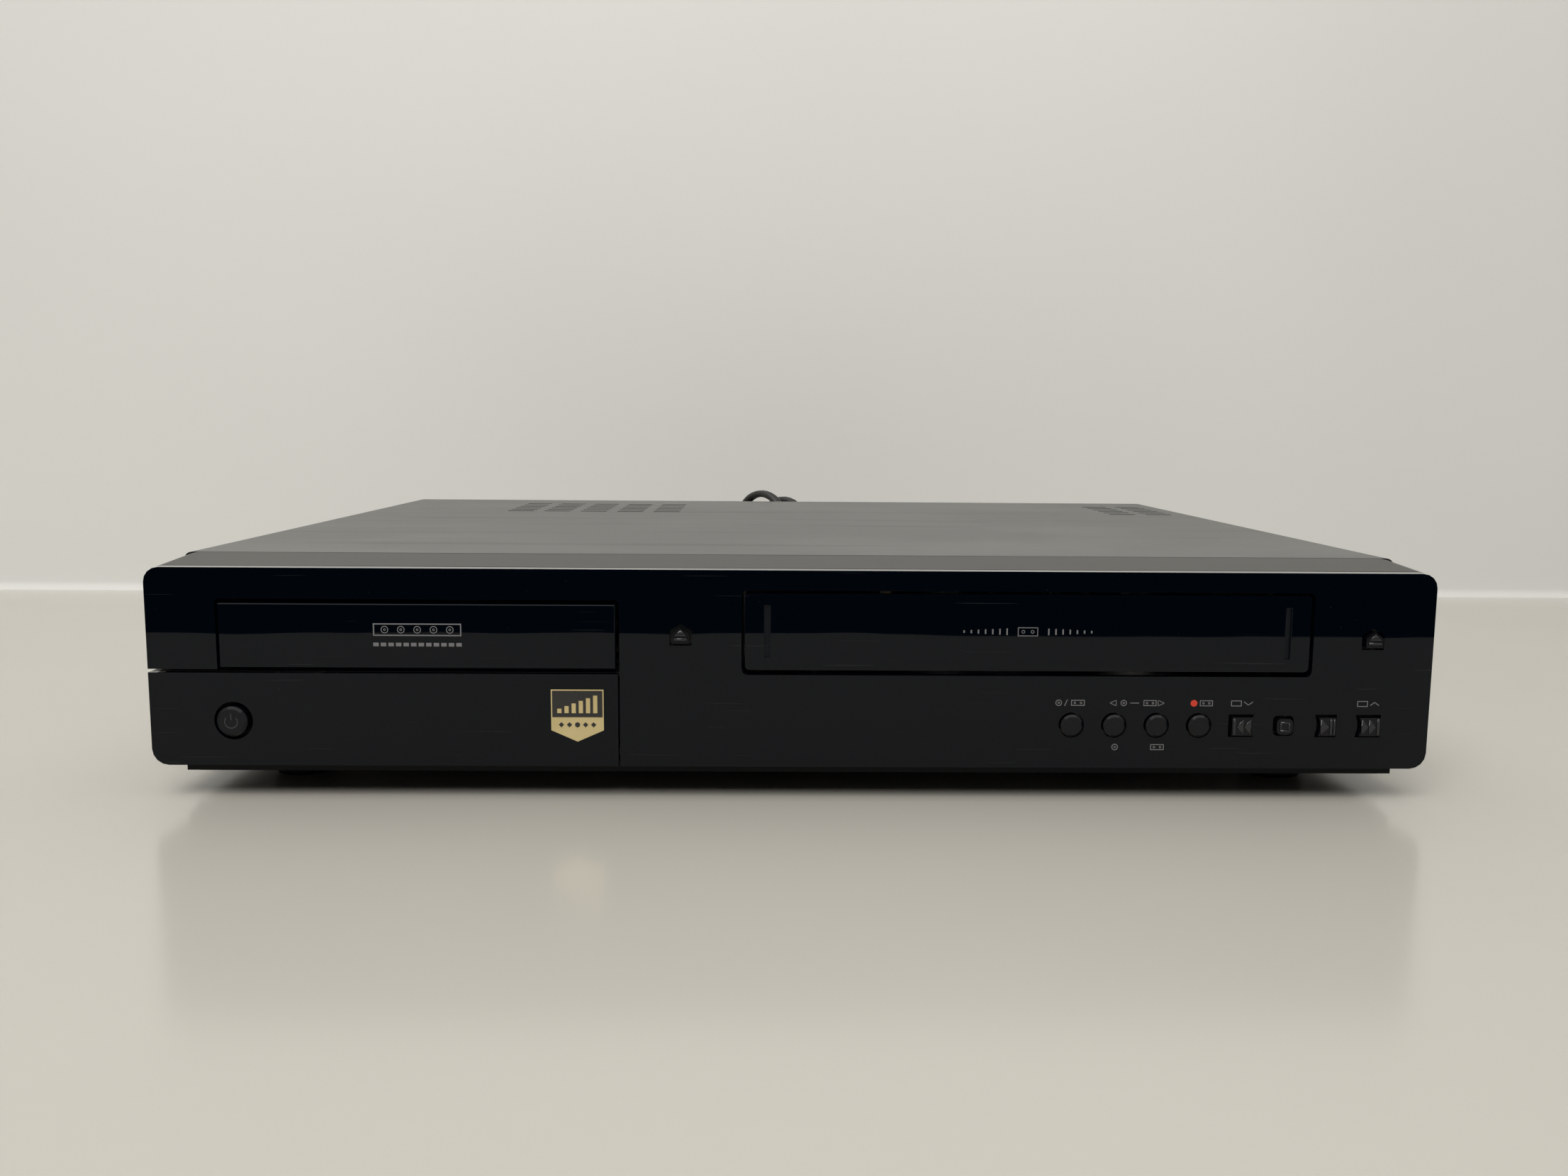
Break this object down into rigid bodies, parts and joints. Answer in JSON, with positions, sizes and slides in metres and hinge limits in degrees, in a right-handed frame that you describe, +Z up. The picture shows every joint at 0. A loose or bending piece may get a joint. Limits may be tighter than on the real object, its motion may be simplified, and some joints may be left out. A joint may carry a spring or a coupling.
{
  "type": "disc and cassette combination player",
  "caption": "Full-width disc and cassette player in a flat steel case, with a sliding disc tray, a hinged cassette door, a fold-down socket flap, press buttons and a mains lead.",
  "frame": {"origin": "on the surface that the feet stand on, under the middle of the set's own bounding box, its lead left out", "axes": "+X to the right seen from the front, +Y from the front to the back, +Z up"},
  "size_m": [0.43, 0.4182, 0.0868],
  "materials": {
    "gloss_black": "polished piano-black moulding",
    "button_black": "satin black moulding",
    "cover_grey": "fine matt coated sheet steel",
    "matte_black": "matt moulded",
    "bare_steel": "plated sheet",
    "polished": "polished metal",
    "rubber": "matt",
    "green_board": "solder mask",
    "brown_board": "paper laminate",
    "pale_plastic": "natural acetal",
    "brass": "plated contacts",
    "flex": "soft vinyl sheath"
  },
  "bodies": {
    "chassis": {"base_pan": "cover_grey", "top_cover": "cover_grey", "rear_panel": "cover_grey", "front_bezel": "gloss_black", "jack_recess": "matte_black", "jack_board": "brown_board", "front_board": "brown_board", "loader_frame": "matte_black", "tray_motor": "bare_steel", "tray_belt": "rubber", "vcr_deck": "bare_steel", "drum_base": "bare_steel", "side_frames": "bare_steel", "loading_motor": "bare_steel", "erase_head": "polished", "sound_head": "polished", "power_board": "brown_board", "main_board": "green_board", "rear_sockets": "brass", "fan_frame": "matte_black", "cord_relief": "flex", "power_cord": "flex", "cord_hank": "flex", "cord_tie": "flex", "mains_plug": "flex"},
    "flap": {"av_flap": "gloss_black"},
    "cassette_door": {"vcr_door": "gloss_black"},
    "tray": {"disc_tray": "matte_black", "tray_fascia": "gloss_black"},
    "tray_gear": {"tray_gear": "pale_plastic"},
    "motor_pulley": {"tray_motor_pulley": "pale_plastic"},
    "clamp": {"disc_clamp": "pale_plastic"},
    "traverse": {"traverse_deck": "bare_steel"},
    "turntable": {"turntable": "pale_plastic"},
    "sled": {"laser_sled": "bare_steel"},
    "lead_screw": {"lead_screw": "polished"},
    "head_drum": {"head_drum": "polished"},
    "capstan": {"capstan": "polished"},
    "pinch_arm": {"pinch_arm": "bare_steel"},
    "pinch_roller": {"pinch_roller": "rubber"},
    "supply_reel": {"supply_reel": "pale_plastic"},
    "takeup_reel": {"takeup_reel": "pale_plastic"},
    "supply_guide": {"supply_guide": "polished"},
    "takeup_guide": {"takeup_guide": "polished"},
    "holder_slider": {"holder_slider": "bare_steel"},
    "cassette_holder": {"cassette_holder": "bare_steel"},
    "mode_cam": {"mode_cam": "pale_plastic"},
    "fan_rotor": {"fan_rotor": "matte_black"},
    "power_button": {"power_button": "button_black"},
    "disc_eject_button": {"disc_eject_button": "button_black"},
    "tape_eject_button": {"tape_eject_button": "button_black"},
    "source_button": {"source_button": "button_black"},
    "disc_dub_button": {"disc_dub_button": "button_black"},
    "tape_dub_button": {"tape_dub_button": "button_black"},
    "record_button": {"record_button": "button_black"},
    "previous_button": {"previous_button": "button_black"},
    "stop_button": {"stop_button": "button_black"},
    "play_button": {"play_button": "button_black"},
    "next_button": {"next_button": "button_black"}
  },
  "joints": [
    {"name": "flap_hinge", "type": "hinge", "parent": "chassis", "child": "flap", "pos_m": [-0.137, -0.1718, 0.0158], "axis": [1, 0, 0], "range_deg": [0, 90]},
    {"name": "cassette_door_hinge", "type": "hinge", "parent": "chassis", "child": "cassette_door", "pos_m": [0.07825, -0.172, 0.0746], "axis": [1, 0, 0], "range_deg": [0, 85]},
    {"name": "tray_slide", "type": "slide", "parent": "chassis", "child": "tray", "axis": [0, -1, 0], "range_m": [0, 0.145]},
    {"name": "tray_gear_spin", "type": "hinge", "parent": "chassis", "child": "tray_gear", "pos_m": [-0.16985, -0.155, 0.047], "axis": [0, 0, 1], "range_deg": [-10, 960]},
    {"name": "motor_pulley_spin", "type": "hinge", "parent": "chassis", "child": "motor_pulley", "pos_m": [-0.157, -0.132, 0.046], "axis": [0, 0, 1], "range_deg": [-10, 3421]},
    {"name": "clamp_spin", "type": "hinge", "parent": "chassis", "child": "clamp", "pos_m": [-0.12555, -0.097, 0.062], "axis": [0, 0, 1], "continuous": true},
    {"name": "traverse_tilt", "type": "hinge", "parent": "chassis", "child": "traverse", "pos_m": [-0.12555, 0.003, 0.04375], "axis": [1, 0, 0], "range_deg": [0, 6]},
    {"name": "turntable_spin", "type": "hinge", "parent": "traverse", "child": "turntable", "pos_m": [-0.12555, -0.097, 0.055], "axis": [0, 0, 1], "continuous": true},
    {"name": "sled_slide", "type": "slide", "parent": "traverse", "child": "sled", "axis": [0, 1, 0], "range_m": [0, 0.034]},
    {"name": "lead_screw_spin", "type": "hinge", "parent": "traverse", "child": "lead_screw", "pos_m": [-0.098, -0.0503, 0.04375], "axis": [0, 1, 0], "range_deg": [-10, 4090]},
    {"name": "power_button_press", "type": "slide", "parent": "chassis", "child": "power_button", "axis": [0, 1, 0], "range_m": [0, 0.0008], "stiffness_N_per_m": 300},
    {"name": "disc_eject_button_press", "type": "slide", "parent": "chassis", "child": "disc_eject_button", "axis": [0, 1, 0], "range_m": [0, 0.0008], "stiffness_N_per_m": 300},
    {"name": "tape_eject_button_press", "type": "slide", "parent": "chassis", "child": "tape_eject_button", "axis": [0, 1, 0], "range_m": [0, 0.0008], "stiffness_N_per_m": 300},
    {"name": "source_button_press", "type": "slide", "parent": "chassis", "child": "source_button", "axis": [0, 1, 0], "range_m": [0, 0.0008], "stiffness_N_per_m": 300},
    {"name": "disc_dub_button_press", "type": "slide", "parent": "chassis", "child": "disc_dub_button", "axis": [0, 1, 0], "range_m": [0, 0.0008], "stiffness_N_per_m": 300},
    {"name": "tape_dub_button_press", "type": "slide", "parent": "chassis", "child": "tape_dub_button", "axis": [0, 1, 0], "range_m": [0, 0.0008], "stiffness_N_per_m": 300},
    {"name": "record_button_press", "type": "slide", "parent": "chassis", "child": "record_button", "axis": [0, 1, 0], "range_m": [0, 0.0008], "stiffness_N_per_m": 300},
    {"name": "previous_button_press", "type": "slide", "parent": "chassis", "child": "previous_button", "axis": [0, 1, 0], "range_m": [0, 0.0008], "stiffness_N_per_m": 300},
    {"name": "stop_button_press", "type": "slide", "parent": "chassis", "child": "stop_button", "axis": [0, 1, 0], "range_m": [0, 0.0008], "stiffness_N_per_m": 300},
    {"name": "play_button_press", "type": "slide", "parent": "chassis", "child": "play_button", "axis": [0, 1, 0], "range_m": [0, 0.0008], "stiffness_N_per_m": 300},
    {"name": "next_button_press", "type": "slide", "parent": "chassis", "child": "next_button", "axis": [0, 1, 0], "range_m": [0, 0.0008], "stiffness_N_per_m": 300},
    {"name": "drum_spin", "type": "hinge", "parent": "chassis", "child": "head_drum", "pos_m": [0.07825, 0.051, 0.024], "axis": [0, -0.1045, 0.9945], "continuous": true},
    {"name": "capstan_spin", "type": "hinge", "parent": "chassis", "child": "capstan", "pos_m": [0.13025, 0.019, 0.02], "axis": [0, 0, 1], "continuous": true},
    {"name": "pinch_arm_swing", "type": "hinge", "parent": "chassis", "child": "pinch_arm", "pos_m": [0.15025, 0.049, 0.029], "axis": [0, 0, -1], "range_deg": [0, 30]},
    {"name": "pinch_roller_spin", "type": "hinge", "parent": "pinch_arm", "child": "pinch_roller", "pos_m": [0.15546, 0.01946, 0.039], "axis": [0, 0, 1], "continuous": true},
    {"name": "supply_reel_spin", "type": "hinge", "parent": "chassis", "child": "supply_reel", "pos_m": [0.032, -0.031, 0.03], "axis": [0, 0, 1], "continuous": true},
    {"name": "takeup_reel_spin", "type": "hinge", "parent": "chassis", "child": "takeup_reel", "pos_m": [0.1245, -0.031, 0.03], "axis": [0, 0, 1], "continuous": true},
    {"name": "supply_guide_slide", "type": "slide", "parent": "chassis", "child": "supply_guide", "axis": [-0.2499, 0.9683, 0], "range_m": [0, 0.064]},
    {"name": "takeup_guide_slide", "type": "slide", "parent": "chassis", "child": "takeup_guide", "axis": [0.2499, 0.9683, 0], "range_m": [0, 0.064]},
    {"name": "carriage_slide", "type": "slide", "parent": "chassis", "child": "holder_slider", "axis": [0, 1, 0], "range_m": [0, 0.055]},
    {"name": "holder_drop", "type": "slide", "parent": "holder_slider", "child": "cassette_holder", "axis": [0, 0, -1], "range_m": [0, 0.018]},
    {"name": "mode_cam_spin", "type": "hinge", "parent": "chassis", "child": "mode_cam", "pos_m": [0.01025, 0.069, 0.022], "axis": [0, 0, 1], "continuous": true},
    {"name": "fan_spin", "type": "hinge", "parent": "chassis", "child": "fan_rotor", "pos_m": [-0.17, 0.163, 0.046], "axis": [0, 1, 0], "continuous": true}
  ],
  "couplings": [
    {"joint": "tray_gear_spin", "follows": "tray_slide", "rad_per_m": 114.24},
    {"joint": "motor_pulley_spin", "follows": "tray_slide", "rad_per_m": 410.55},
    {"joint": "lead_screw_spin", "follows": "sled_slide", "rad_per_m": 2094.4},
    {"joint": "takeup_guide_slide", "follows": "supply_guide_slide", "ratio": 1},
    {"joint": "holder_drop", "follows": "carriage_slide", "ratio": 0.32727}
  ]
}
